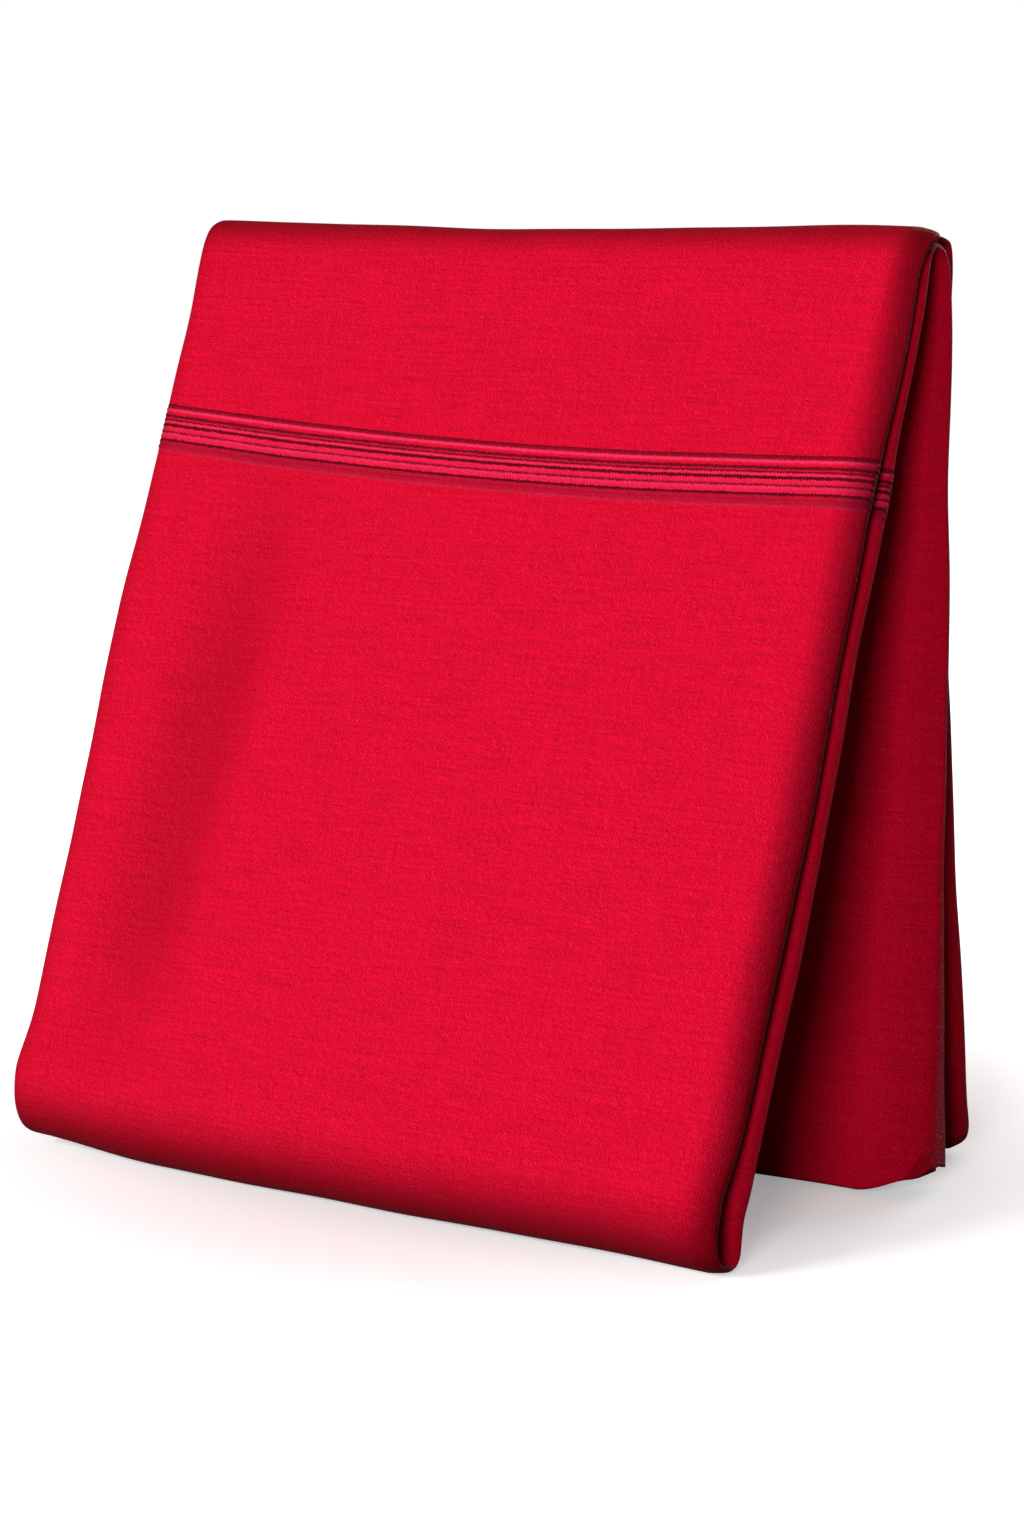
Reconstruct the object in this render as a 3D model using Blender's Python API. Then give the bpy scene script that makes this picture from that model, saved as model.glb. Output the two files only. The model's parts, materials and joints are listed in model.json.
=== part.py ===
"""A folded length of woven cotton cloth, stood up as an A-frame tent.

The cloth is folded lengthwise into a bundle of eight plies, folded across its middle crease, and
hung over a ridge, so that four bundles hang from it: front outer, front inner, back inner and back
outer. Metres, +Z up, origin at the middle of the base. The ridge runs along X and the front faces -Y.

Ply 1 is the skin that shows: it faces out on the outer bundles and into the tent on the inner ones.
Ply 8 is the skin that faces the neighbouring bundle. In each bundle the plies turn round in pairs at
the right edge (1 with 8, 2 with 7, 3 with 6, 4 with 5), and at the left edge 1 turns into 4, 5 into
6 and 3 into 2, while 7 and 8 end in hems.
"""

import math

import bpy
import bmesh

# Driving dimensions
WIDTH = 0.285            # length of the ridge
RIDGE_HEIGHT = 0.3125    # top of the ridge above the floor
FRONT_REACH = 0.117      # from the ridge line to the foot of the front face
FRONT_BOW = 0.003        # how far the front face bows out of its plane
CENTRE_X = 0.0059        # moves the middle of the base to the origin
CENTRE_Y = 0.0213
PLIES = 8
GAP = 0.0003             # clearance between neighbouring pieces
BUNDLE_GAP = 0.0005      # clearance between neighbouring bundles
PLY_THICKNESS = 0.0010   # greatest thickness of one loosely pressed ply
BUNDLE_FOOT = 0.0128     # thickness of a front bundle at its foot
BUNDLE_LOSS = 0.0083     # how much thinner it is at the ridge
RIDGE_MIDDLE = 0.0105    # how far behind the ridge line the two ridge folds are centred
RIDGE_DEPTH = 0.0048     # thickness of the eight plies pressed together there
INNER_RIDGE = 0.3022     # underside of the inner ridge fold
LEG_TOP = 0.288          # the bundles start here, below the ridge folds
FOOT_TOP = 0.015         # the front bundles end here, above the bottom fold
FOLD_FLOOR = 0.0042      # the eight plies pressed together under the bottom fold
FOLD_WALL = 0.0062       # and at its two sides
FOLD_HOLE_TOP = 0.0125   # top of the hollow inside the bottom fold
EDGE_FLARE = 0.005       # how far the left edge stands out beyond the ridge
EDGE_TAPER = 0.005       # how far the right edge draws in at the foot
CREASE_WIDTH = 0.014     # width of the creases and hems along the left edge
HEM_WIDTH = 0.009
BAND_TOP = 0.2440        # height of the woven border band
BAND_BOTTOM = 0.2260
BAND_THICKNESS = 0.0004
BAND_INSET = 0.004       # it starts this far from the left edge
EDGE_REACH = 1.35        # a turned edge is this much longer than a half circle
ARC_STEPS = 6

# The back bundles by height: front skin, back skin and how far the right edge draws in
BACK_INNER = [
    (0.288, 0.0133, 0.0192, 0.000),
    (0.250, 0.0136, 0.0212, 0.000),
    (0.192, 0.0137, 0.0240, 0.000),
    (0.127, 0.0118, 0.0246, 0.000),
    (0.060, 0.0090, 0.0318, 0.000),
    (0.000, 0.0040, 0.0420, 0.000),
]
BACK_OUTER = [
    (0.288, 0.0198, 0.0254, 0.002),
    (0.250, 0.0219, 0.0294, 0.004),
    (0.192, 0.0250, 0.0358, 0.006),
    (0.127, 0.0315, 0.0435, 0.007),
    (0.060, 0.0432, 0.0562, 0.009),
    (0.000, 0.0600, 0.0730, 0.012),
]

LEAN = math.atan(FRONT_REACH / RIDGE_HEIGHT)
INTO = (math.cos(LEAN), -math.sin(LEAN))  # from the front skin into the front leg, as (y, z)

CRIMSON = (0.62, 0.012, 0.035, 1.0)
MAROON = (0.20, 0.008, 0.030, 1.0)


def clear_scene():
    for item in list(bpy.data.objects):
        bpy.data.objects.remove(item, do_unlink=True)


def make_material(name, colour):
    material = bpy.data.materials.new(name)
    material.use_nodes = True
    shader = material.node_tree.nodes["Principled BSDF"]
    shader.inputs["Base Color"].default_value = colour
    shader.inputs["Roughness"].default_value = 0.85
    shader.inputs["Metallic"].default_value = 0.0
    return material


class Station:
    """One level of a bundle: where its ply 1 and ply 8 skins lie, and its two edges."""

    def __init__(self, shown, hidden, right, left):
        self.shown = shown
        self.hidden = hidden
        self.right = right
        self.left = left
        self.depth = math.dist(shown, hidden)
        self.pitch = self.depth / PLIES

    def point(self, x, depth):
        """The place at x along the ridge and depth behind the skin that shows."""
        share = depth / self.depth
        y = self.shown[0] + (self.hidden[0] - self.shown[0]) * share
        z = self.shown[1] + (self.hidden[1] - self.shown[1]) * share
        return (x + CENTRE_X, y + CENTRE_Y, z)

    def half_ply(self):
        return min(self.pitch - GAP, PLY_THICKNESS) / 2

    def ply_depth(self, ply):
        return (ply - 0.5) * self.pitch


def front_skin(z):
    """The front face at height z, as (y, z)."""
    bow = FRONT_BOW * math.sin(math.pi * z / RIDGE_HEIGHT)
    return (-FRONT_REACH * (1 - z / RIDGE_HEIGHT) - bow, z)


def bundle_depth(z):
    return BUNDLE_FOOT - BUNDLE_LOSS * (z / RIDGE_HEIGHT) ** 2.4


def step(point, direction, distance):
    return (point[0] + direction[0] * distance, point[1] + direction[1] * distance)


def front_stations(inner, heights):
    """The levels of a front bundle. The inner one lies behind the outer one."""
    stations = []
    for z in heights:
        depth = bundle_depth(z)
        gap = BUNDLE_GAP
        into = INTO
        if z < FOOT_TOP + GAP:
            depth /= INTO[0]
            gap /= INTO[0]
            into = (1.0, 0.0)
        start = step(front_skin(z), into, (depth + gap) if inner else 0.0)
        end = step(start, into, depth)
        low = 1 - z / RIDGE_HEIGHT
        right = WIDTH / 2 - EDGE_TAPER * low ** 2
        left = -WIDTH / 2 - EDGE_FLARE * min(1.0, 3 * low)
        skins = (end, start) if inner else (start, end)
        stations.append(Station(*skins, right, left))
    return stations


def back_stations(profile, inner):
    """The levels of a back bundle. Ply 1 faces forward on the inner one and back on the outer one."""
    stations = []
    for z, front, back, inset in profile:
        skins = ((front, z), (back, z)) if inner else ((back, z), (front, z))
        right = WIDTH / 2 - inset
        stations.append(Station(*skins, right, right - WIDTH))
    return stations


def spaced(top, bottom, count):
    return [top + (bottom - top) * i / (count - 1) for i in range(count)]


def add_solid(name, rings, colour):
    """A closed body through rings of points that all have the same length."""
    bm = bmesh.new()
    loops = [[bm.verts.new(point) for point in ring] for ring in rings]
    for upper, lower in zip(loops, loops[1:]):
        for i in range(len(upper)):
            j = (i + 1) % len(upper)
            bm.faces.new((upper[i], upper[j], lower[j], lower[i]))
    bm.faces.new(loops[0])
    bm.faces.new(list(reversed(loops[-1])))
    bmesh.ops.recalc_face_normals(bm, faces=bm.faces)
    mesh = bpy.data.meshes.new(name)
    bm.to_mesh(mesh)
    bm.free()
    obj = bpy.data.objects.new(name, mesh)
    bpy.context.scene.collection.objects.link(obj)
    mesh.materials.append(make_material(name + "_cloth", colour))
    return obj


def edge_turn(centre_x, centre_depth, reach, radius, side):
    """Points round a turned edge, from the ply in front to the ply behind."""
    points = []
    for i in range(ARC_STEPS + 1):
        angle = math.pi * i / ARC_STEPS
        x = centre_x + side * reach * math.sin(angle)
        points.append((x, centre_depth - radius * math.cos(angle)))
    return points


def turned_section(station, first, last, side, end_x, nest):
    """The outline of two plies joined by a turn, in (x, depth)."""
    half = station.half_ply()
    middle = (station.ply_depth(first) + station.ply_depth(last)) / 2
    radius = (station.ply_depth(last) - station.ply_depth(first)) / 2
    edge = station.right if side > 0 else station.left
    edge -= side * nest * station.pitch
    outer_reach = (radius + half) * EDGE_REACH
    centre_x = edge - side * outer_reach
    inner_reach = outer_reach - 2 * half
    outer = edge_turn(centre_x, middle, outer_reach, radius + half, side)
    inner = edge_turn(centre_x, middle, inner_reach, radius - half, side)
    first_depth = station.ply_depth(first)
    last_depth = station.ply_depth(last)
    outline = [(end_x, first_depth - half)] + outer + [(end_x, last_depth + half)]
    outline += [(end_x, last_depth - half)] + inner[::-1] + [(end_x, first_depth + half)]
    return outline


def strip_section(station, ply, start_x, end_x):
    half = station.half_ply()
    depth = station.ply_depth(ply)
    return [
        (start_x, depth - half),
        (end_x, depth - half),
        (end_x, depth + half),
        (start_x, depth + half),
    ]


def add_swept(name, stations, section, colour=CRIMSON):
    """A body whose outline at each station is section(station)."""
    rings = [[s.point(x, depth) for x, depth in section(s)] for s in stations]
    return add_solid(name, rings, colour)


def add_ply_pairs(bundle, stations):
    """The plies, two by two, joined round the right edge, one pair inside the other."""
    for pair in range(1, PLIES // 2 + 1):
        add_swept(
            f"{bundle}_ply_pair_{pair}_{PLIES + 1 - pair}",
            stations,
            lambda s, k=pair: turned_section(
                s, k, PLIES + 1 - k, 1, s.left + CREASE_WIDTH + GAP, (k - 1) * 1.05
            ),
        )


def add_left_edge(bundle, stations):
    """The creases and the hemmed ends along the left edge."""
    for first, last, nest in ((1, 4, 0.0), (2, 3, 1.05), (5, 6, 0.6)):
        add_swept(
            f"{bundle}_left_crease_{first}_{last}",
            stations,
            lambda s, a=first, b=last, n=nest: turned_section(
                s, a, b, -1, s.left + CREASE_WIDTH, n
            ),
        )
    for ply in (7, 8):
        add_swept(
            f"{bundle}_hem_{ply}",
            stations,
            lambda s, k=ply: strip_section(
                s, k, s.left + CREASE_WIDTH - HEM_WIDTH, s.left + CREASE_WIDTH
            ),
        )


def band_section(station):
    """The border band on the skin that shows, wrapped half way round the right edge."""
    lift = GAP / 3
    half = (station.depth - station.pitch) / 2 + station.half_ply()
    reach = half * EDGE_REACH
    centre_x = station.right - reach
    middle = station.depth / 2
    keep = ARC_STEPS // 2 + 1
    inner = edge_turn(centre_x, middle, reach + lift, half + lift, 1)[:keep]
    lift += BAND_THICKNESS
    outer = edge_turn(centre_x, middle, reach + lift, half + lift, 1)[:keep]
    end_x = station.left + BAND_INSET
    return [(end_x, outer[0][1])] + outer + inner[::-1] + [(end_x, inner[0][1])]


def add_bands():
    """The woven band on the front face, and the one on the skin that faces the back leg."""
    heights = spaced(BAND_TOP, BAND_BOTTOM, 3)
    for bundle, inner in (("front_outer", False), ("front_inner", True)):
        add_swept(f"{bundle}_border_band", front_stations(inner, heights), band_section, MAROON)


def add_along_x(name, outline, right, left, colour=CRIMSON):
    """A body with one outline in (y, z), from the left edge to the right edge."""
    rings = [
        [(x + CENTRE_X, y + CENTRE_Y, z) for y, z in outline]
        for x in (left, right)
    ]
    return add_solid(name, rings, colour)


def arch(front_foot, back_foot, top_y, top_z, steps=10):
    """Points over a rounded top, from the front foot to the back foot."""
    points = []
    for i in range(steps + 1):
        angle = math.pi * i / steps
        foot = front_foot if angle < math.pi / 2 else back_foot
        y = top_y + (foot[0] - top_y) * abs(math.cos(angle)) ** 0.8
        z = foot[1] + (top_z - foot[1]) * math.sin(angle) ** 0.8
        points.append((y, z))
    return points


def add_ridge_fold(name, front_leg, back_leg, top_z):
    """A fold over the ridge, its eight plies pressed together."""
    feet = (front_leg.shown, front_leg.hidden, back_leg.shown, back_leg.hidden)
    shown_front, hidden_front, shown_back, hidden_back = [(y, z + GAP) for y, z in feet]
    shown = arch(shown_front, shown_back, RIDGE_MIDDLE, top_z)
    over = hidden_front[0] < shown_front[0]
    hidden_top = top_z + (RIDGE_DEPTH if over else -RIDGE_DEPTH)
    hidden = arch(hidden_front, hidden_back, RIDGE_MIDDLE, hidden_top)
    add_along_x(name, shown + hidden[::-1], WIDTH / 2, -WIDTH / 2)


def add_bottom_fold(outer, inner):
    """The fold at the foot of the front leg, flat where it stands on the floor."""
    front, top = outer.shown
    back = inner.shown[0]
    middle = (outer.hidden[0] + inner.hidden[0]) / 2
    slit = BUNDLE_GAP / 2
    top -= GAP
    outline = [
        (middle - slit, top),
        (front, top),
        (front - 0.0035, 0.0070),
        (front - 0.0030, 0.0020),
        (front - 0.0005, 0.0),
        (back - 0.0035, 0.0),
        (back - 0.0005, 0.0020),
        (back + 0.0004, 0.0070),
        (back, top),
        (middle + slit, top),
        (middle + slit, FOLD_HOLE_TOP),
        (back - FOLD_WALL, FOLD_FLOOR),
        (front + FOLD_WALL, FOLD_FLOOR),
        (middle - slit, FOLD_HOLE_TOP),
    ]
    add_along_x("front_bottom_fold", outline, outer.right, outer.left)


def build():
    clear_scene()
    heights = spaced(LEG_TOP, FOOT_TOP, 6)
    outer = front_stations(False, heights)
    inner = front_stations(True, heights)
    back_inner = back_stations(BACK_INNER, True)
    back_outer = back_stations(BACK_OUTER, False)
    bundles = {
        "front_outer": outer,
        "front_inner": inner,
        "back_inner": back_inner,
        "back_outer": back_outer,
    }
    for bundle, stations in bundles.items():
        add_ply_pairs(bundle, stations)
        add_left_edge(bundle, stations)
    add_bands()
    add_ridge_fold("outer_ridge_fold", outer[0], back_outer[0], RIDGE_HEIGHT)
    add_ridge_fold("inner_ridge_fold", inner[0], back_inner[0], INNER_RIDGE)
    add_bottom_fold(outer[-1], inner[-1])


build()
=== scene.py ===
"""A folded length of crimson cotton cloth, stood up as an A-frame tent.

The cloth is one sheet of 2.28 m by 1.31 m. Folded lengthwise it makes a bundle of eight plies, and
folded across its middle crease and hung over a ridge it makes an outer and an inner half. Each half
is built as the sheet that it is: the zigzag of its plies, carried along a line that runs up the
front leg, over the ridge and down the back.
"""

import json
import math

import bpy
import numpy as np
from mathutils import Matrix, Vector


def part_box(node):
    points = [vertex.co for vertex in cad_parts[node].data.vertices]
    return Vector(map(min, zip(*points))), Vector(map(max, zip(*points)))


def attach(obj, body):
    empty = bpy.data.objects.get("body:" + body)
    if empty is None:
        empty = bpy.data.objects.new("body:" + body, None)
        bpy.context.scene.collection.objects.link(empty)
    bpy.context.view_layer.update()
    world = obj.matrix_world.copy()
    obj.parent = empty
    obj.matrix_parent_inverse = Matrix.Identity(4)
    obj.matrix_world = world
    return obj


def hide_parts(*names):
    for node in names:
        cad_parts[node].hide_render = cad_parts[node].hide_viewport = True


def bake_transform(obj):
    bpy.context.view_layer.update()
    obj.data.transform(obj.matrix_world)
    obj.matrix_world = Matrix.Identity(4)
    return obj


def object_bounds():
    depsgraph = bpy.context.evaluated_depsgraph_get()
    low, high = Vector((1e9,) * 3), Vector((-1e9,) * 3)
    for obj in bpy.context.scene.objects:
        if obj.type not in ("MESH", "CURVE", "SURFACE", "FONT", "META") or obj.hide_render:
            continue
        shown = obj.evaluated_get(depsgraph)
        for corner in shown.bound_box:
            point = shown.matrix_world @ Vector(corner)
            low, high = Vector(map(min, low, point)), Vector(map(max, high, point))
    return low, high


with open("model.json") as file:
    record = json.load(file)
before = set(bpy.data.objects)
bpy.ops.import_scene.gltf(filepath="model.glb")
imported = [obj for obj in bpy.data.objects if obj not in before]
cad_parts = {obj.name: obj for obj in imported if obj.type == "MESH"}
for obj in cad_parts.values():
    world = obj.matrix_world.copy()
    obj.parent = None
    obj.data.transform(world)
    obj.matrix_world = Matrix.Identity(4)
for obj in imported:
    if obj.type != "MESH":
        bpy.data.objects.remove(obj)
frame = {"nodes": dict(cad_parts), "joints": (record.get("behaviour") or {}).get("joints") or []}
CAD_LOW, CAD_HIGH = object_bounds()

# Sizes in metres, from the frame
RIDGE_HEIGHT = CAD_HIGH[2]
RIDGE_LOW, RIDGE_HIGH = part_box("outer_ridge_fold")
WIDTH = RIDGE_HIGH.x - RIDGE_LOW.x
AXIS = Vector(frame["joints"][0]["pos_m"])
ORIGIN_X = (RIDGE_HIGH.x + RIDGE_LOW.x) / 2
ORIGIN_Y = AXIS.y - 0.0105

# The cloth
PLIES = 8
ORDER = (8, 1, 4, 5, 6, 3, 2, 7)  # the plies in the order in which the cloth runs through them
FRONT_REACH = 0.118  # from the ridge line to the foot of the front face
FRONT_BOW = 0.0026  # how far the front face bulges forward
BUNDLE_GAP = 0.0006  # between the outer and the inner bundle of the front leg
FLOOR_GAP = 0.0002  # how far the cloth stays above the floor
STEP = 0.0034  # spacing of the mesh along the cloth
TURN_WEIGHT = 2.4  # how much closer the mesh lies where the spine turns
LOOSE_PITCH = 0.0015  # ply spacing where the turned edges are at their fullest
DRAFT = 0.0066  # how far the right edge comes in from the ridge to the foot
DRAFT_POWER = 1.4
TROUGH_DEPTH = 0.0058  # hollow down the left of the front face
POCKET_DEPTH = 0.0075  # how far the right edge buckles in on top of the ridge
PINCH_DEPTH = 0.0016  # step down behind the ridge's front lobe
CORNER = 0.0048  # radius of the rounded lower corner of the back
CORNER_REACH = 0.022  # height over which that corner fades out
BAND_START = 0.0784  # border band: distance down from the ridge, and its width
BAND_WIDTH = 0.0172
BAND_ROWS = 57  # mesh rows across the band
BAND_RIBS = 9

LEAN = math.atan(FRONT_REACH / RIDGE_HEIGHT)
INTO = np.array([math.cos(LEAN), -math.sin(LEAN)])
FULL_TURN = 2 * math.pi


def mm(*rows):
    """Rows of y, z, bundle depth, right inset and left flare, from millimetres to metres."""
    return np.array(rows, float) / 1000


def bundle_depth(z):
    """The front bundle's thickness at height z: pressed thin at the ridge, full at the foot."""
    return 0.0128 - 0.0083 * (z / RIDGE_HEIGHT) ** 2.4


def front_skin(z):
    """The front face's outline at height z."""
    bow = FRONT_BOW * math.sin(math.pi * z / RIDGE_HEIGHT)
    return np.array([-FRONT_REACH * (1 - z / RIDGE_HEIGHT) - bow, z])


def front_rows(heights, inner):
    """The front leg's levels: the outer face, or the inner face that looks into the tent."""
    rows = []
    for z in heights:
        depth = bundle_depth(z)
        place = front_skin(z)
        if inner:
            place = place + INTO * (2 * depth + BUNDLE_GAP)
        low = 1 - z / RIDGE_HEIGHT
        flare = 0.0004 + 0.0018 * min(1.0, 2 * low)
        rows.append((*place, depth, DRAFT * low**DRAFT_POWER, flare))
    return np.array(rows)


def outer_rows():
    """From the middle crease, up the front face, over the ridge and down the back."""
    foot = mm(
        (-98.0, 0.0, 3.2, 6.8, 0.0),
        (-102.6, 0.7, 3.6, 6.8, 0.4),
        (-106.8, 3.2, 4.2, 6.6, 1.0),
        (-110.0, 7.4, 6.2, 6.4, 1.4),
        (-112.4, 13.0, 10.0, 6.4, 1.8),
        (-113.2, 20.0, 12.4, 6.2, 2.0),
        (-111.8, 28.0, 12.8, 6.0, 2.2),
    )
    front = front_rows([0.046, 0.070, 0.100, 0.140, 0.180, 0.220, 0.255, 0.280], False)
    ridge = mm(
        (-9.0, 292.0, 5.6, 0.0, 0.8),
        (-6.0, 300.0, 5.2, -0.2, 1.0),
        (-2.9, 306.2, 5.0, -1.0, 1.4),
        (0.9, 310.7, 4.8, -1.8, 1.6),
        (5.2, 312.7, 4.8, -1.8, 1.4),
        (9.6, 312.5, 4.8, -0.4, 1.0),
        (14.4, 312.0, 4.8, 0.6, 0.4),
        (20.4, 309.8, 4.9, 1.0, 0.8),
        (24.0, 304.4, 5.0, 1.4, 1.0),
        (25.2, 295.0, 5.3, 2.0, 1.4),
        (26.2, 283.0, 5.8, 2.6, 1.6),
    )
    back = mm(
        (29.4, 250.0, 7.3, 4.4, 3.0),
        (35.8, 192.0, 10.6, 6.6, 5.0),
        (43.5, 127.0, 11.8, 6.2, 6.0),
        (56.2, 60.0, 12.6, 7.8, 8.0),
        (66.0, 24.0, 12.6, 11.0, 10.0),
        (70.6, 7.0, 11.4, 13.4, 11.6),
        (70.4, 2.0, 10.0, 15.0, 13.4),
        (68.4, 0.2, 7.6, 18.0, 16.4),
    )
    return np.vstack([foot, front, ridge, back])


def inner_rows():
    """From the middle crease, up the back of the front leg, under the ridge and down."""
    foot = mm(
        (-99.0, 0.0, 3.2, 6.8, 0.0),
        (-95.0, 0.4, 3.6, 6.8, 0.4),
        (-91.4, 3.0, 4.8, 6.8, 0.8),
        (-88.8, 8.0, 8.2, 6.6, 1.2),
        (-86.4, 13.5, 11.2, 6.4, 1.6),
    )
    front = front_rows([0.030, 0.060, 0.100, 0.140, 0.180, 0.220, 0.255, 0.280], True)
    ridge = mm(
        (3.6, 290.5, 5.2, 0.0, 0.0),
        (5.9, 297.6, 4.9, 0.2, 0.0),
        (7.7, 301.4, 4.6, 0.6, 0.0),
        (10.3, 302.7, 4.5, 0.8, 0.0),
        (12.7, 301.2, 4.6, 0.6, 0.0),
        (13.8, 297.0, 4.8, 0.2, 0.0),
        (13.9, 288.0, 5.3, 0.0, 0.0),
    )
    back = mm(
        (13.8, 250.0, 7.2, 0.0, 0.5),
        (13.7, 192.0, 10.0, 0.0, 1.0),
        (11.8, 127.0, 12.4, 0.0, 1.4),
        (7.0, 60.0, 22.0, 0.0, 1.8),
        (0.6, 22.0, 32.0, 0.0, 2.0),
        (-1.6, 6.0, 35.0, 0.0, 2.4),
        (-1.2, 1.4, 34.0, 0.2, 3.6),
        (0.8, 0.2, 31.0, 0.6, 5.8),
    )
    return np.vstack([foot, front, ridge, back])


def smooth_rows(rows, step):
    """The rows, joined by a smooth curve and spaced evenly along it."""
    padded = np.vstack([2 * rows[0] - rows[1], rows, 2 * rows[-1] - rows[-2]])
    t = np.linspace(0, 1, 24, endpoint=False)[:, None]
    parts = []
    for i in range(len(rows) - 1):
        a, b, c, d = padded[i : i + 4]
        spans = ((a, b), (b, c), (c, d))
        first, middle, last = (max(np.linalg.norm(q[:2] - p[:2]), 1e-6) ** 0.5 for p, q in spans)
        rise_b = (b - a) / first - (c - a) / (first + middle) + (c - b) / middle
        rise_c = (c - b) / middle - (d - b) / (middle + last) + (d - c) / last
        rise_b *= middle
        rise_c *= middle
        cubic = 2 * b - 2 * c + rise_b + rise_c
        square = -3 * b + 3 * c - 2 * rise_b - rise_c
        parts.append(((cubic * t + square) * t + rise_b) * t + b)
    fine = np.vstack([*parts, rows[-1:]])
    along = np.concatenate([[0], np.cumsum(np.linalg.norm(np.diff(fine[:, :2], axis=0), axis=1))])
    places = np.linspace(0, along[-1], max(2, round(along[-1] / step)) + 1)
    return np.column_stack([np.interp(places, along, column) for column in fine.T]), places


class Spine:
    """The line that a half of the cloth is carried along, with its depth and its edges."""

    def __init__(self, rows, hidden_side):
        self.outer = hidden_side > 0
        table, self.along = smooth_rows(rows, 0.001)
        self.line = table[:, :2]
        self.depth = table[:, 2]
        self.right = WIDTH / 2 - table[:, 3]
        self.left = -WIDTH / 2 - table[:, 4]
        tangent = np.gradient(self.line, axis=0)
        tangent /= np.linalg.norm(tangent, axis=1)[:, None]
        normal = np.column_stack([tangent[:, 1], -tangent[:, 0]]) * hidden_side
        kernel = np.ones(9) / 9
        padded = np.pad(normal, ((4, 4), (0, 0)), mode="edge")
        smooth = np.column_stack([np.convolve(c, kernel, "valid") for c in padded.T])
        self.normal = smooth / np.linalg.norm(smooth, axis=1)[:, None]

    def at(self, along, values):
        return np.interp(along, self.along, values)

    def length(self):
        return self.along[-1]

    def ridge_hollows(self, y, z):
        """Where the turned right edge buckles inward as it goes over the ridge."""
        if not self.outer:
            return np.zeros_like(y)
        on_top = ease(z, 0.301, 0.306)
        return on_top * hump(y, 0.0108, 0.0046)

    def face_trough(self, x, z):
        """A shallow hollow down the left of the front face."""
        if not self.outer:
            return np.zeros(np.broadcast(x, z).shape)
        tall = ease(z, 0.02, 0.09) * (1 - ease(z, 0.15, 0.27))
        return TROUGH_DEPTH * hump(x, 0.042 + 0.10 * (z - 0.10), 0.030) * tall

    def ridge_pinch(self, y, z):
        """Where the ridge steps down behind its front lobe."""
        if not self.outer:
            return np.zeros_like(y)
        return ease(z, 0.296, 0.304) * ease(y, 0.0070, 0.0100)

    def height_place(self, y_side, z):
        """How far along the spine it passes height z, on the front (-1) or the back (+1)."""
        top = int(np.argmax(self.line[:, 1]))
        part = slice(0, top) if y_side < 0 else slice(top, None)
        index = int(np.argmin(np.abs(self.line[part, 1] - z))) + (0 if y_side < 0 else top)
        return self.along[index]


def turn_columns(ply, following, side, turn):
    """A turned edge between two plies, as (share of width, pitches, depth in plies)."""
    nest, near_reach, far_reach, count = turn
    middle = (ply + following) / 2 - 0.5
    radius = (following - ply) / 2
    columns = []
    for i in range(1, count):
        angle = math.pi * i / count
        turned = (0.5 - 0.5 * math.cos(angle if radius > 0 else math.pi - angle)) ** TURN_BIAS
        depth = middle - abs(radius) + 2 * abs(radius) * turned
        reach = near_reach if math.cos(angle) * radius > 0 else far_reach
        inset = nest + reach * (1 - math.sin(angle) ** 0.95)
        share = 1.0 if side > 0 else 0.0
        columns.append((share, -side * inset, depth))
    return columns


def ply_columns(ply, start, end, count):
    """A flat ply between two edges, each given as (share of width, pitches)."""
    columns = []
    for i in range(count + 1):
        t = i / count
        share = start[0] + (end[0] - start[0]) * t
        pitches = start[1] + (end[1] - start[1]) * t
        columns.append((share, pitches, ply - 0.5))
    return columns


TURN_BIAS = 0.72  # below 1, a turned edge is fullest toward its hidden side

# Turned edges: how far in the turn nests, how far its near and far sides reach in, its steps
RIGHT_TURNS = {
    (1, 8): (0.0, 13.5, 2.6, 24),
    (2, 7): (1.2, 9.6, 2.2, 12),
    (3, 6): (2.4, 5.8, 1.8, 8),
    (4, 5): (3.6, 1.6, 1.2, 6),
}
LEFT_TURNS = {
    (1, 4): (0.0, 4.6, 1.6, 12),
    (2, 3): (1.6, 2.2, 1.0, 6),
    (5, 6): (0.5, 2.0, 1.6, 8),
}
FREE_ENDS = {7: 2.4, 8: 1.2}  # how far in plies 7 and 8 end on the left, in pitches
HEM = 4.0  # width of a turned hem, in pitches
STITCH_INSET = 0.0125  # from a raw edge to the line of stitches, along the cloth
STITCH_LENGTH = 0.0026  # a stitch with the gap after it
STITCH_SHARE = 0.68  # how much of that is thread
STITCH_HALF_WIDTH = 0.00028
LONG_PLY_STEPS, INNER_PLY_STEPS = 76, 26  # mesh steps across an outermost and an inner ply


def edge_of(ply, side):
    """Where ply ends on that side, in pitches from the edge."""
    turns = RIGHT_TURNS if side > 0 else LEFT_TURNS
    for pair, (nest, near_reach, far_reach, _) in turns.items():
        if ply in pair:
            return nest + (near_reach if ply == pair[0] else far_reach)
    return FREE_ENDS[ply]


def zigzag():
    """The columns of the whole section, in the order in which the cloth runs through it."""
    columns = []
    heading = 1
    for place, ply in enumerate(ORDER):
        left = (0.0, edge_of(ply, -1))
        right = (1.0, -edge_of(ply, 1))
        start, end = (left, right) if heading > 0 else (right, left)
        steps = LONG_PLY_STEPS if ply in (1, PLIES) else INNER_PLY_STEPS
        columns += ply_columns(ply, start, end, steps)
        if place + 1 < PLIES:
            following = ORDER[place + 1]
            turns = RIGHT_TURNS if heading > 0 else LEFT_TURNS
            turn = turns[tuple(sorted((ply, following)))]
            columns += turn_columns(ply, following, heading, turn)
        heading = -heading
    return np.array(hem_columns(ORDER[0]) + columns + hem_columns(ORDER[-1])[::-1])


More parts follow.
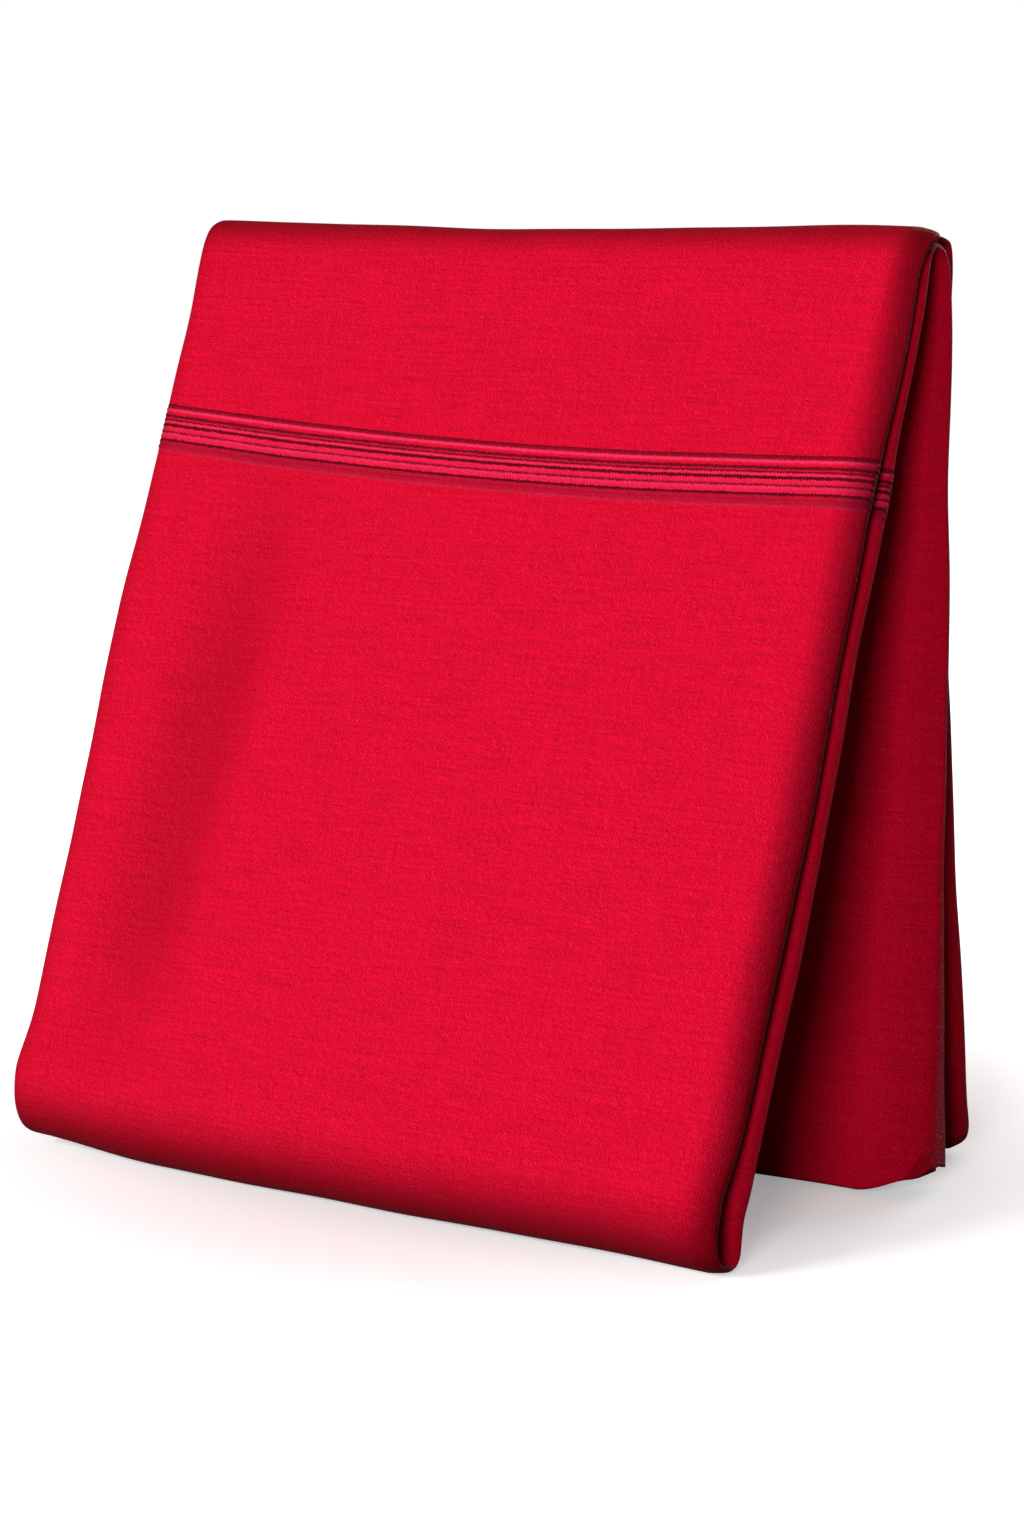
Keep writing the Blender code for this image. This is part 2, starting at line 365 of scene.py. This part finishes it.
def hem_columns(ply):
    """The narrow hem turned back along a free left edge, from its raw edge to the fold."""
    edge = FREE_ENDS[ply]
    steps = [(HEM, 0.42), (HEM * 0.5, 0.42), (0.5, 0.40), (0.0, 0.30), (-0.25, 0.15)]
    return [(0.0, edge + pitches, ply - 0.5 + depth) for pitches, depth in steps]


COLUMNS = zigzag()


def soft_noise(x, y, seed, scale):
    """A smooth wandering value between about -1 and 1."""
    rng = np.random.default_rng(seed)
    total = np.zeros(np.broadcast(x, y).shape)
    for _ in range(7):
        angle = rng.uniform(0, 2 * math.pi)
        wave = rng.uniform(0.7, 1.9) / scale
        phase = rng.uniform(0, 2 * math.pi)
        slanted = x * math.cos(angle) + y * math.sin(angle)
        total += np.sin(slanted * wave * FULL_TURN + phase)
    return total / 3.2


def ease(value, low, high):
    """A smooth rise from 0 at low to 1 at high."""
    t = np.clip((value - low) / (high - low), 0, 1)
    return t * t * (3 - 2 * t)


def settle(x, y, z):
    """How the stood cloth sags: a hollow ridge line and a left foot that lifts off the floor."""
    across = np.clip((x + WIDTH / 2) / WIDTH, 0, 1)
    high = ease(z, 0.24, 0.31)
    sag = -0.0015 * np.sin(math.pi * across) ** 1.2
    sag = sag + 0.0008 * ease(across, 0.7, 0.95) + 0.0004 * ease(-across, -0.1, 0.0)
    left_foot = ease(-x, 0.085, 0.148) * (1 - ease(z, 0.0, 0.08)) * (1 - ease(y, -0.08, -0.02))
    return z + sag * high + 0.0030 * left_foot


def hump(value, middle, half_width):
    """A smooth rise to 1 at the middle, and 0 beyond the half width."""
    return np.cos(np.clip((value - middle) / half_width, -1, 1) * math.pi / 2) ** 2


def cloth_points(spine, along, columns):
    """Points of the cloth at each place along the spine and each column of the section."""
    place = np.asarray(along)[:, None]
    share, pitches, plies = columns.T[:, None, :]
    depth = spine.at(place, spine.depth)
    pitch = depth / PLIES
    loose = np.minimum(pitch, LOOSE_PITCH)
    right = spine.at(place, spine.right) + 0.0005 * soft_noise(place, place * 0, 5, 0.11)
    left = spine.at(place, spine.left) + 0.0006 * soft_noise(place, place * 0, 6, 0.13)
    x = left + share * (right - left) + pitches * loose
    line_y = spine.at(place, spine.line[:, 0])
    line_z = spine.at(place, spine.line[:, 1])
    normal_y = spine.at(place, spine.normal[:, 0])
    normal_z = spine.at(place, spine.normal[:, 1])
    middle = (x - left) / (right - left)
    swell = 4 * middle * (1 - middle)
    share_in = plies / PLIES
    near_end = ease(x, right - 0.026, right)
    hollow = spine.ridge_hollows(line_y, line_z)
    pocket = ease(share_in, 0.02, 0.25) * (1 - ease(share_in, 0.72, 0.98))
    x = x - POCKET_DEPTH * hollow * pocket * near_end
    pinch = PINCH_DEPTH * spine.ridge_pinch(line_y, line_z) * (1 - 0.9 * share_in) * near_end
    wander = 0.0007 * soft_noise(x, place, 11, 0.19) + 0.0003 * soft_noise(x, place, 12, 0.07)
    trough = spine.face_trough(x - left, line_z) * (1 - 0.5 * share_in)
    inward = plies * pitch * (0.94 + 0.06 * swell) + wander + pinch + trough
    y = line_y + normal_y * inward
    z = line_z + normal_z * inward
    z = settle(x, y, z)
    z = round_corner(x, y, z, right)
    return np.stack([x + ORIGIN_X, y + ORIGIN_Y, np.maximum(z, FLOOR_GAP)], axis=-1)


def round_corner(x, y, z, right):
    """The lower right corner of the back, rounded where the cloth turns."""
    over = np.clip(x - right + CORNER, 0, 0.98 * CORNER)
    floor = (CORNER - np.sqrt(CORNER**2 - over**2)) * ease(y, -0.02, -0.006)
    squeeze = np.clip(1 - z / CORNER_REACH, 0, 1)
    return z + floor * squeeze


def painted_fold_shade(points, spine):
    """How much painted shade each point gets in its colour, from 0 on a flat face to 1, deepest in
    a fold or a turned edge, at the foot and on top of the ridge.
    """
    x = points[..., 0] - ORIGIN_X
    y = points[..., 1] - ORIGIN_Y
    z = points[..., 2]
    low = 1 - z / RIDGE_HEIGHT
    right = WIDTH / 2 - DRAFT * np.clip(low, 0, 1) ** DRAFT_POWER
    left = -WIDTH / 2 - 0.002
    # Painted shade at the turned right edge, the left edge, the foot, the top of the ridge and the
    # trough down the left of the face
    right_turn = 0.92 * (1 - ease(right - x, 0.0002, 0.0130))
    left_turn = 0.20 * (1 - ease(x - left, 0.0, 0.010))
    foot = 0.84 * (1 - ease(z, 0.002, 0.031)) ** 1.1
    top = 0.55 * ease(z, 0.302, 0.312)
    trough = 0.34 * spine.face_trough(x - left, z) / TROUGH_DEPTH
    flat = (1 - right_turn) * (1 - left_turn) * (1 - foot) * (1 - top) * (1 - trough)
    # Fainter painted shade behind the ridge and on the inner half
    strength = 1 - 0.75 * ease(y, 0.0, 0.02) if spine.outer else 0.22
    return (1 - flat) * strength


def grid_mesh(name, points, u, v, shade):
    """A mesh over a grid of points, with a map that gives the cloth's own metres, and the painted
    shade that darkens its colour at each point.
    """
    rows, cols = points.shape[:2]
    index = np.arange(rows * cols).reshape(rows, cols)
    faces = np.stack([index[:-1, :-1], index[:-1, 1:], index[1:, 1:], index[1:, :-1]], axis=-1)
    mesh = bpy.data.meshes.new(name)
    mesh.from_pydata(points.reshape(-1, 3).tolist(), [], faces.reshape(-1, 4).tolist())
    # The painted shade, kept on each point for the material to darken the colour with
    fold = mesh.attributes.new("painted_fold_shade", "FLOAT", "POINT")
    fold.data.foreach_set("value", shade.astype(np.float32).ravel())
    layer = mesh.uv_layers.new(name="UVMap")
    corners = faces.reshape(-1)
    uv = np.stack(np.broadcast_arrays(u[None, :], v[:, None]), axis=-1).reshape(-1, 2)
    layer.data.foreach_set("uv", uv[corners].astype(np.float32).ravel())
    mesh.shade_smooth()
    mesh.update()
    obj = bpy.data.objects.new(name, mesh)
    bpy.context.scene.collection.objects.link(obj)
    return obj


def run_of(columns):
    """How far along the cloth each column lies, in metres."""
    x = columns[:, 0] * WIDTH + columns[:, 1] * LOOSE_PITCH
    depth = columns[:, 2] * LOOSE_PITCH
    steps = np.hypot(np.diff(x), np.diff(depth))
    return np.concatenate([[0], np.cumsum(steps)])


def places_between(spine, start, end):
    """Places along the spine, closer together round the foot and the ridge."""
    tangent = np.arctan2(np.gradient(spine.line[:, 1]), np.gradient(spine.line[:, 0]))
    turning = np.abs(np.gradient(np.unwrap(tangent))) / np.gradient(spine.along)
    weight = 1 / STEP + turning * TURN_WEIGHT
    spans = (weight[1:] + weight[:-1]) / 2 * np.diff(spine.along)
    total = np.concatenate([[0], np.cumsum(spans)])
    first, last = np.interp([start, end], spine.along, total)
    wanted = np.linspace(first, last, int(last - first) + 2)
    return np.interp(wanted, total, spine.along)


def add_cloth(name, spine, start, end, flip):
    """A stretch of a half of the cloth, between two places along its spine."""
    places = places_between(spine, start, end)
    points = cloth_points(spine, places, COLUMNS)
    u = run_of(COLUMNS)
    v = places if flip else -places
    # Each stretch carries its painted shade for the colour
    obj = grid_mesh(name, points, u, v, painted_fold_shade(points, spine))
    obj.data.materials.append(CLOTH)
    return obj


# Materials


def new_group(name, inputs, outputs):
    """An empty node group with the named sockets, its input and output nodes, and its tree."""
    tree = bpy.data.node_groups.new(name, "ShaderNodeTree")
    for label, kind, value in inputs:
        socket = tree.interface.new_socket(name=label, in_out="INPUT", socket_type=kind)
        if value is not None:
            socket.default_value = value
    for label, kind in outputs:
        tree.interface.new_socket(name=label, in_out="OUTPUT", socket_type=kind)
    return tree, tree.nodes.new("NodeGroupInput"), tree.nodes.new("NodeGroupOutput")


def wire(tree, source, target):
    """Link one socket to another."""
    tree.links.new(source, target)


def math_node(tree, operation, first, second=None, third=None):
    """A Math node's result, from numbers or sockets."""
    node = tree.nodes.new("ShaderNodeMath")
    node.operation = operation
    for socket, value in zip(node.inputs, (first, second, third)):
        if value is None:
            continue
        if isinstance(value, (int, float)):
            socket.default_value = value
        else:
            wire(tree, value, socket)
    return node.outputs[0]


def mix_colour(tree, factor, first, second, blend="MIX"):
    """A mix of two colours, from values or sockets."""
    node = tree.nodes.new("ShaderNodeMix")
    node.data_type = "RGBA"
    node.blend_type = blend
    sockets = (node.inputs[0], node.inputs[6], node.inputs[7])
    for socket, value in zip(sockets, (factor, first, second)):
        if isinstance(value, (int, float, tuple)):
            socket.default_value = value
        else:
            wire(tree, value, socket)
    return node.outputs[2]


def uv_place(tree):
    """The cloth's own metres: along the run of the plies, and up the legs."""
    node = tree.nodes.new("ShaderNodeUVMap")
    node.uv_map = "UVMap"
    return node.outputs[0]


def noise_node(tree, place, scale, detail, stretch=None):
    """Noise read at the cloth's own metres, stretched along one direction if asked."""
    if stretch:
        mapping = tree.nodes.new("ShaderNodeMapping")
        mapping.inputs["Scale"].default_value = (*stretch, 1.0)
        wire(tree, place, mapping.inputs["Vector"])
        place = mapping.outputs[0]
    node = tree.nodes.new("ShaderNodeTexNoise")
    node.inputs["Scale"].default_value = scale
    node.inputs["Detail"].default_value = detail
    node.inputs["Roughness"].default_value = 0.6
    wire(tree, place, node.inputs["Vector"])
    return node.outputs["Fac"]


def centred_noise(tree, place, scale, detail, stretch=None):
    """Noise that wanders round 0."""
    noise = noise_node(tree, place, scale, detail, stretch)
    return math_node(tree, "SUBTRACT", noise, 0.5)


WOBBLE_SCALE = 420.0  # how finely the threads wander, per metre
FINE_SCALE = 1300.0  # fuzz of single fibres
SLUB_SCALE = 900.0  # thick places in the threads


def build_weave_group():
    """Woven cotton: a fine slanting grain, uneven threads and faint slubs along both ways, darkened
    by painted shade in the folds.
    """
    tree, given, result = new_group(
        "woven_cotton",
        [
            ("Place", "NodeSocketVector", None),
            ("Thread Pitch", "NodeSocketFloat", 0.0010),
            ("Light", "NodeSocketColor", (0.92, 0.0042, 0.038, 1.0)),
            ("Dark", "NodeSocketColor", (0.30, 0.0001, 0.002, 1.0)),
            # The last two: how much painted shade, and the dark colour that the painted shade mixes
            # toward
            ("Painted Shade", "NodeSocketFloat", 0.0),
            ("Painted Shade Colour", "NodeSocketColor", (0.13, 0.0001, 0.0006, 1.0)),
        ],
        [("Color", "NodeSocketColor"), ("Height", "NodeSocketFloat")],
    )
    place = given.outputs["Place"]
    split = tree.nodes.new("ShaderNodeSeparateXYZ")
    wire(tree, place, split.inputs[0])
    wobble = noise_node(tree, place, WOBBLE_SCALE, 2.0)
    u = math_node(tree, "DIVIDE", split.outputs["X"], given.outputs["Thread Pitch"])
    v = math_node(tree, "DIVIDE", split.outputs["Y"], given.outputs["Thread Pitch"])
    slant = math_node(tree, "MULTIPLY_ADD", v, 0.9, u)
    slant = math_node(tree, "MULTIPLY_ADD", wobble, 3.4, slant)
    twill = math_node(tree, "SINE", math_node(tree, "MULTIPLY", slant, FULL_TURN))
    rows = math_node(tree, "MULTIPLY_ADD", wobble, 1.6, math_node(tree, "MULTIPLY", v, 1.8))
    weft = math_node(tree, "SINE", math_node(tree, "MULTIPLY", rows, FULL_TURN))
    fine = centred_noise(tree, place, FINE_SCALE, 3.0)
    slub = centred_noise(tree, place, SLUB_SCALE, 1.0, (0.05, 1.0))
    warp_slub = centred_noise(tree, place, SLUB_SCALE, 1.0, (1.0, 0.05))
    grain = math_node(tree, "MULTIPLY_ADD", fine, 2.2, math_node(tree, "MULTIPLY", twill, 0.42))
    grain = math_node(tree, "MULTIPLY_ADD", weft, 0.12, grain)
    streaks = math_node(tree, "ADD", slub, math_node(tree, "MULTIPLY", warp_slub, 0.6))
    shade = math_node(tree, "MULTIPLY_ADD", grain, 0.48, 0.5)
    shade = math_node(tree, "MULTIPLY_ADD", streaks, 0.42, shade)
    clamp = tree.nodes.new("ShaderNodeClamp")
    wire(tree, shade, clamp.inputs[0])
    threads = clamp.outputs[0]
    colour = mix_colour(tree, threads, given.outputs["Dark"], given.outputs["Light"])
    # Painted shade: the thread colour darkened toward the shade colour in folds, at turned edges
    # and at the foot
    colour = mix_colour(tree, given.outputs["Painted Shade"], colour, given.outputs["Painted Shade Colour"])
    wire(tree, colour, result.inputs["Color"])
    wire(tree, math_node(tree, "MULTIPLY_ADD", streaks, 0.6, grain), result.inputs["Height"])
    return tree


def principled(name):
    """A new node material, its tree and its shader."""
    material = bpy.data.materials.new(name)
    material.use_nodes = True
    tree = material.node_tree
    return material, tree, tree.nodes["Principled BSDF"]


def place_group(tree, group, values):
    """A node group in this tree, with the sockets named in values set."""
    node = tree.nodes.new("ShaderNodeGroup")
    node.node_tree = group
    for label, value in values.items():
        node.inputs[label].default_value = value
    return node


def bump_from(tree, height, distance, strength, shader):
    """The shader's normal, raised by a height."""
    bump = tree.nodes.new("ShaderNodeBump")
    bump.inputs["Distance"].default_value = distance
    bump.inputs["Strength"].default_value = strength
    wire(tree, height, bump.inputs["Height"])
    wire(tree, bump.outputs[0], shader.inputs["Normal"])


def cloth_finish(shader):
    """A faint satin sheen, tinted like the dyed threads."""
    shader.inputs["Roughness"].default_value = 0.45
    shader.inputs["Specular IOR Level"].default_value = 0.44
    shader.inputs["Specular Tint"].default_value = (1.0, 0.03, 0.20, 1.0)
    shader.inputs["Sheen Weight"].default_value = 0.02
    shader.inputs["Sheen Roughness"].default_value = 0.4
    shader.inputs["Sheen Tint"].default_value = (1.0, 0.05, 0.20, 1.0)


def build_stitch_group():
    """A line of small stitches along both hems, as a mask."""
    tree, given, result = new_group(
        "hem_stitches",
        [
            ("Place", "NodeSocketVector", None),
            ("Run", "NodeSocketFloat", 2.28),
            ("Inset", "NodeSocketFloat", STITCH_INSET),
            ("Stitch", "NodeSocketFloat", STITCH_LENGTH),
        ],
        [("Mask", "NodeSocketFloat")],
    )
    split = tree.nodes.new("ShaderNodeSeparateXYZ")
    wire(tree, given.outputs["Place"], split.inputs[0])
    centre = math_node(tree, "MULTIPLY", given.outputs["Run"], 0.5)
    off_centre = math_node(tree, "SUBTRACT", split.outputs["X"], centre)
    from_edge = math_node(tree, "SUBTRACT", centre, math_node(tree, "ABSOLUTE", off_centre))
    off_line = math_node(tree, "SUBTRACT", from_edge, given.outputs["Inset"])
    off_line = math_node(tree, "ABSOLUTE", off_line)
    on_line = math_node(tree, "LESS_THAN", off_line, STITCH_HALF_WIDTH)
    beat = math_node(tree, "DIVIDE", split.outputs["Y"], given.outputs["Stitch"])
    dash = math_node(tree, "LESS_THAN", math_node(tree, "FRACT", beat), STITCH_SHARE)
    wire(tree, math_node(tree, "MULTIPLY", on_line, dash), result.inputs["Mask"])
    return tree


def painted_shade_amount(tree):
    """The painted shade that each mesh carries, read to darken its colour."""
    node = tree.nodes.new("ShaderNodeAttribute")
    node.attribute_name = "painted_fold_shade"
    return node.outputs["Fac"]


STITCH_COLOUR = (0.30, 0.004, 0.02, 1.0)


def build_cloth_material():
    """The crimson cotton, with the stitches of its hems."""
    material, tree, shader = principled("crimson_cotton")
    place = uv_place(tree)
    weave = place_group(tree, WEAVE, {})
    wire(tree, place, weave.inputs["Place"])
    # Painted shade from the mesh darkens the cotton's colour
    wire(tree, painted_shade_amount(tree), weave.inputs["Painted Shade"])
    stitches = place_group(tree, STITCHES, {"Run": float(run_of(COLUMNS)[-1])})
    wire(tree, place, stitches.inputs["Place"])
    mask = stitches.outputs["Mask"]
    colour = mix_colour(tree, mask, weave.outputs["Color"], STITCH_COLOUR)
    wire(tree, colour, shader.inputs["Base Color"])
    cloth_finish(shader)
    height = math_node(tree, "MULTIPLY_ADD", mask, 1.6, weave.outputs["Height"])
    bump_from(tree, height, 0.00022, 0.7, shader)
    return material


BAND_STRIPES = (  # (where the stripe ends across the band, its colour)
    (0.050, (0.203, 0.0017, 0.0068, 1.0)),
    (0.090, (0.381, 0.0036, 0.0150, 1.0)),
    (0.150, (1.000, 0.0337, 0.1177, 1.0)),
    (0.215, (0.841, 0.0052, 0.0348, 1.0)),
    (0.275, (0.146, 0.0013, 0.0051, 1.0)),
    (0.305, (0.763, 0.0112, 0.0436, 1.0)),
    (0.345, (0.195, 0.0013, 0.0059, 1.0)),
    (0.400, (0.970, 0.0240, 0.0829, 1.0)),
    (0.465, (0.111, 0.0013, 0.0051, 1.0)),
    (0.560, (0.951, 0.0162, 0.0648, 1.0)),
    (0.600, (0.261, 0.0017, 0.0078, 1.0)),
    (0.660, (1.000, 0.0296, 0.1038, 1.0)),
    (0.720, (0.913, 0.0123, 0.0582, 1.0)),
    (0.775, (0.111, 0.0013, 0.0051, 1.0)),
    (0.945, (0.516, 0.0049, 0.0232, 1.0)),
    (1.000, (0.644, 0.0123, 0.0463, 1.0)),
)


def stripe_ramp(tree, position):
    """The stripes' colours, by the place across the band."""
    ramp = tree.nodes.new("ShaderNodeValToRGB")
    ramp.color_ramp.interpolation = "CONSTANT"
    elements = ramp.color_ramp.elements
    start = 0.0
    for i, (end, colour) in enumerate(BAND_STRIPES):
        element = elements[i] if i < 2 else elements.new(0.999)
        element.position = start
        element.color = colour
        start = end
    wire(tree, position, ramp.inputs[0])
    return ramp.outputs[0]


BAND_THREAD = 0.0011  # spacing of the threads that cross the band's stripes
# Thread tones for the band, and the dark colour its painted shade mixes toward
BAND_TONES = {
    "Light": (1.0, 1.0, 1.0, 1.0),
    "Dark": (0.5, 0.45, 0.45, 1.0),
    "Painted Shade Colour": (0.2, 0.14, 0.14, 1.0),
}


def build_band_material():
    """The woven border: stripes across, broken up by the threads that carry them."""
    material, tree, shader = principled("woven_border")
    place = uv_place(tree)
    split = tree.nodes.new("ShaderNodeSeparateXYZ")
    wire(tree, place, split.inputs[0])
    turns = math_node(tree, "MULTIPLY", split.outputs["X"], FULL_TURN / BAND_THREAD)
    teeth = math_node(tree, "SINE", turns)
    ragged = centred_noise(tree, place, 700.0, 2.0)
    across = math_node(tree, "DIVIDE", split.outputs["Y"], BAND_WIDTH)
    across = math_node(tree, "MULTIPLY_ADD", teeth, 0.010, across)
    across = math_node(tree, "MULTIPLY_ADD", ragged, 0.06, across)
    stripes = stripe_ramp(tree, across)
    weave = place_group(tree, WEAVE, BAND_TONES)
    wire(tree, place, weave.inputs["Place"])
    # Painted shade from the mesh darkens the band's colour
    wire(tree, painted_shade_amount(tree), weave.inputs["Painted Shade"])
    colour = mix_colour(tree, 1.0, stripes, weave.outputs["Color"], "MULTIPLY")
    wire(tree, colour, shader.inputs["Base Color"])
    cloth_finish(shader)
    height = math_node(tree, "MULTIPLY_ADD", teeth, 0.3, weave.outputs["Height"])
    bump_from(tree, height, 0.00016, 0.7, shader)
    return material


FLOOR_SEEN = (0.93, 0.90, 0.90, 1.0)  # the floor's tone as it is seen
FLOOR_CAST = (0.12, 0.12, 0.12, 1.0)  # and as the cloth gathers light from it


def build_floor_material():
    """A white floor that takes the cloth's shadow and fades into the background."""
    material, tree, shader = principled("studio_floor")
    shader.inputs["Roughness"].default_value = 0.7
    shader.inputs["Specular IOR Level"].default_value = 0.1
    shader.inputs["Emission Color"].default_value = (1.0, 0.99, 0.99, 1.0)
    place = tree.nodes.new("ShaderNodeTexCoord")
    length = tree.nodes.new("ShaderNodeVectorMath")
    length.operation = "LENGTH"
    wire(tree, place.outputs["Object"], length.inputs[0])
    far = tree.nodes.new("ShaderNodeMapRange")
    far.interpolation_type = "SMOOTHSTEP"
    far.inputs["From Min"].default_value = 0.06
    far.inputs["From Max"].default_value = 0.34
    far.inputs["To Min"].default_value = 0.26
    far.inputs["To Max"].default_value = 1.0
    wire(tree, length.outputs["Value"], far.inputs["Value"])
    path = tree.nodes.new("ShaderNodeLightPath")
    seen = path.outputs["Is Camera Ray"]
    glow = math_node(tree, "MULTIPLY", seen, far.outputs[0])
    tone = mix_colour(tree, seen, FLOOR_CAST, FLOOR_SEEN)
    wire(tree, tone, shader.inputs["Base Color"])
    wire(tree, glow, shader.inputs["Emission Strength"])
    return material


# Border band


def band_line(x):
    """How far below the ridge line the band's upper edge runs, at each place across."""
    across = np.clip((x + WIDTH / 2) / WIDTH, 0, 1)
    rise = 0.0086 * (1 - across) ** 1.9
    bow = 0.0022 * np.sin(math.pi * across)
    return BAND_START - rise + bow - 0.001 * across**3


def add_band(name, spine, ridge_place, face):
    """A ribbed strip on the cloth, a hair proud of it on the face given."""
    share, pitches = COLUMNS[:, 0], COLUMNS[:, 1]
    x = share * WIDTH - WIDTH / 2 + pitches * LOOSE_PITCH
    upper = ridge_place - band_line(x)
    steps = np.linspace(0, 1, BAND_ROWS)
    ribs = 0.00022 + 0.00012 * np.cos(steps * FULL_TURN * BAND_RIBS)
    ribs = ribs - 0.0003 * (np.abs(steps - 0.5) * 2) ** 14
    points = np.zeros((len(steps), len(COLUMNS), 3))
    for i, (across, rib) in enumerate(zip(steps, ribs)):
        places = upper - across * BAND_WIDTH
        points[i] = band_row(spine, places, rib * face)
    # Painted shade on the band, as on the cloth beside it
    shade = painted_fold_shade(points, spine)
    obj = grid_mesh(name, points, run_of(COLUMNS), steps * BAND_WIDTH, shade)
    obj.data.materials.append(BAND)
    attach(obj, "front_leg")
    return obj


AHEAD = 0.0005  # how far along the spine the band's slope is read


def band_row(spine, places, rib):
    """One thread line of the band: each column at its own place along the spine."""
    base = np.empty((len(COLUMNS), 3))
    ahead = np.empty_like(base)
    for block in np.array_split(np.arange(len(COLUMNS)), 12):
        own = np.arange(len(block))
        grid = cloth_points(spine, places[block], COLUMNS[block])
        base[block] = grid[own, own]
        grid = cloth_points(spine, places[block] + AHEAD, COLUMNS[block])
        ahead[block] = grid[own, own]
    side = np.gradient(base, axis=0)
    normal = np.cross(side, ahead - base)
    normal /= np.maximum(np.linalg.norm(normal, axis=1), 1e-12)[:, None]
    return base + normal * rib


# Studio


AMBIENT = 0.06  # brightness of the surroundings that the cloth reflects
FLOOR_HALF = 6.0  # half the side of the floor
LIT_PLACE = Vector((0.0, 0.0, 0.15))  # what the lights point at


def add_camera():
    """A long lens at the height of the ridge, looking slightly down from the front right."""
    camera = bpy.data.cameras.new("camera")
    camera.lens = 86.65
    camera.sensor_width = 36.0
    camera.clip_start = 0.01
    obj = bpy.data.objects.new("camera", camera)
    bpy.context.scene.collection.objects.link(obj)
    obj.location = (
        2.23 * RIDGE_HEIGHT + ORIGIN_X,
        -3.27 * RIDGE_HEIGHT + ORIGIN_Y,
        1.04 * RIDGE_HEIGHT,
    )
    obj.rotation_euler = (math.radians(90 - 8.95), 0, math.radians(34.8))
    bpy.context.scene.camera = obj
    bpy.context.scene.view_settings.view_transform = "Standard"


def add_area(name, place, size, power):
    """A square soft light that faces the middle of the tent."""
    light = bpy.data.lights.new(name, "AREA")
    light.shape = "SQUARE"
    light.size = size
    light.energy = power
    obj = bpy.data.objects.new(name, light)
    bpy.context.scene.collection.objects.link(obj)
    obj.location = place
    facing = LIT_PLACE - Vector(place)
    obj.rotation_euler = facing.to_track_quat("-Z", "Y").to_euler()


def add_floor():
    """The floor that the cloth stands on."""
    mesh = bpy.data.meshes.new("studio_floor")
    corners = [(-FLOOR_HALF, -FLOOR_HALF, 0), (FLOOR_HALF, -FLOOR_HALF, 0)]
    corners += [(FLOOR_HALF, FLOOR_HALF, 0), (-FLOOR_HALF, FLOOR_HALF, 0)]
    mesh.from_pydata(corners, [], [(0, 1, 2, 3)])
    obj = bpy.data.objects.new("studio_floor", mesh)
    bpy.context.scene.collection.objects.link(obj)
    obj.data.materials.append(build_floor_material())


def add_world():
    """A white background that lights the cloth only faintly."""
    world = bpy.data.worlds.new("studio")
    bpy.context.scene.world = world
    world.use_nodes = True
    tree = world.node_tree
    background = tree.nodes["Background"]
    background.inputs["Color"].default_value = (1.0, 1.0, 1.0, 1.0)
    path = tree.nodes.new("ShaderNodeLightPath")
    seen = math_node(tree, "MULTIPLY_ADD", path.outputs["Is Camera Ray"], 1.0 - AMBIENT, AMBIENT)
    wire(tree, seen, background.inputs["Strength"])


def add_lights():
    """A key light on the front face, a side light into the tent, and two faint fills."""
    add_area("key", (-0.80, -1.90, 0.85), 0.8, 40)
    add_area("side", (0.80, -1.88, 0.62), 0.5, 22)
    add_area("top", (0.2, 0.3, 2.0), 1.6, 2)
    add_area("back", (0.3, 1.9, 1.0), 1.0, 12)


WEAVE = build_weave_group()
STITCHES = build_stitch_group()
CLOTH = build_cloth_material()
BAND = build_band_material()
OUTER = Spine(outer_rows(), 1)
INNER = Spine(inner_rows(), -1)


def add_outer_half():
    """The outer half: its front, the piece over the ridge, and the back flap."""
    start = OUTER.height_place(-1, 0.284)
    behind = OUTER.height_place(1, 0.297)
    front = add_cloth("outer_half_front", OUTER, 0.0, start, False)
    ridge = add_cloth("outer_half_ridge", OUTER, start, behind, False)
    flap = add_cloth("outer_half_back_flap", OUTER, behind, OUTER.length(), False)
    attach(front, "front_leg")
    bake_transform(ridge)
    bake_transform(flap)
    return front, ridge, flap


def add_inner_half():
    """The inner half: up the back of the front leg, over under the ridge, and down again."""
    start = INNER.height_place(-1, 0.281)
    behind = INNER.height_place(1, 0.281)
    front = add_cloth("inner_half_front", INNER, 0.0, start, True)
    ridge = add_cloth("inner_half_ridge", INNER, start, behind, True)
    back = add_cloth("inner_half_back", INNER, behind, INNER.length(), True)
    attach(front, "front_leg")
    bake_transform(ridge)
    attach(back, "back_inner_leg")
    return front, ridge, back


outer_band = add_band("outer_border_band", OUTER, OUTER.height_place(-1, RIDGE_HEIGHT), -1)
inner_band = add_band("inner_border_band", INNER, INNER.height_place(-1, 0.300) + 0.012, 1)
outer_pieces = add_outer_half()
inner_pieces = add_inner_half()

for node in frame["nodes"]:
    if node.endswith("border_band"):
        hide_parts(node)
        continue
    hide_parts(node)

add_world()
add_floor()
add_lights()
add_camera()
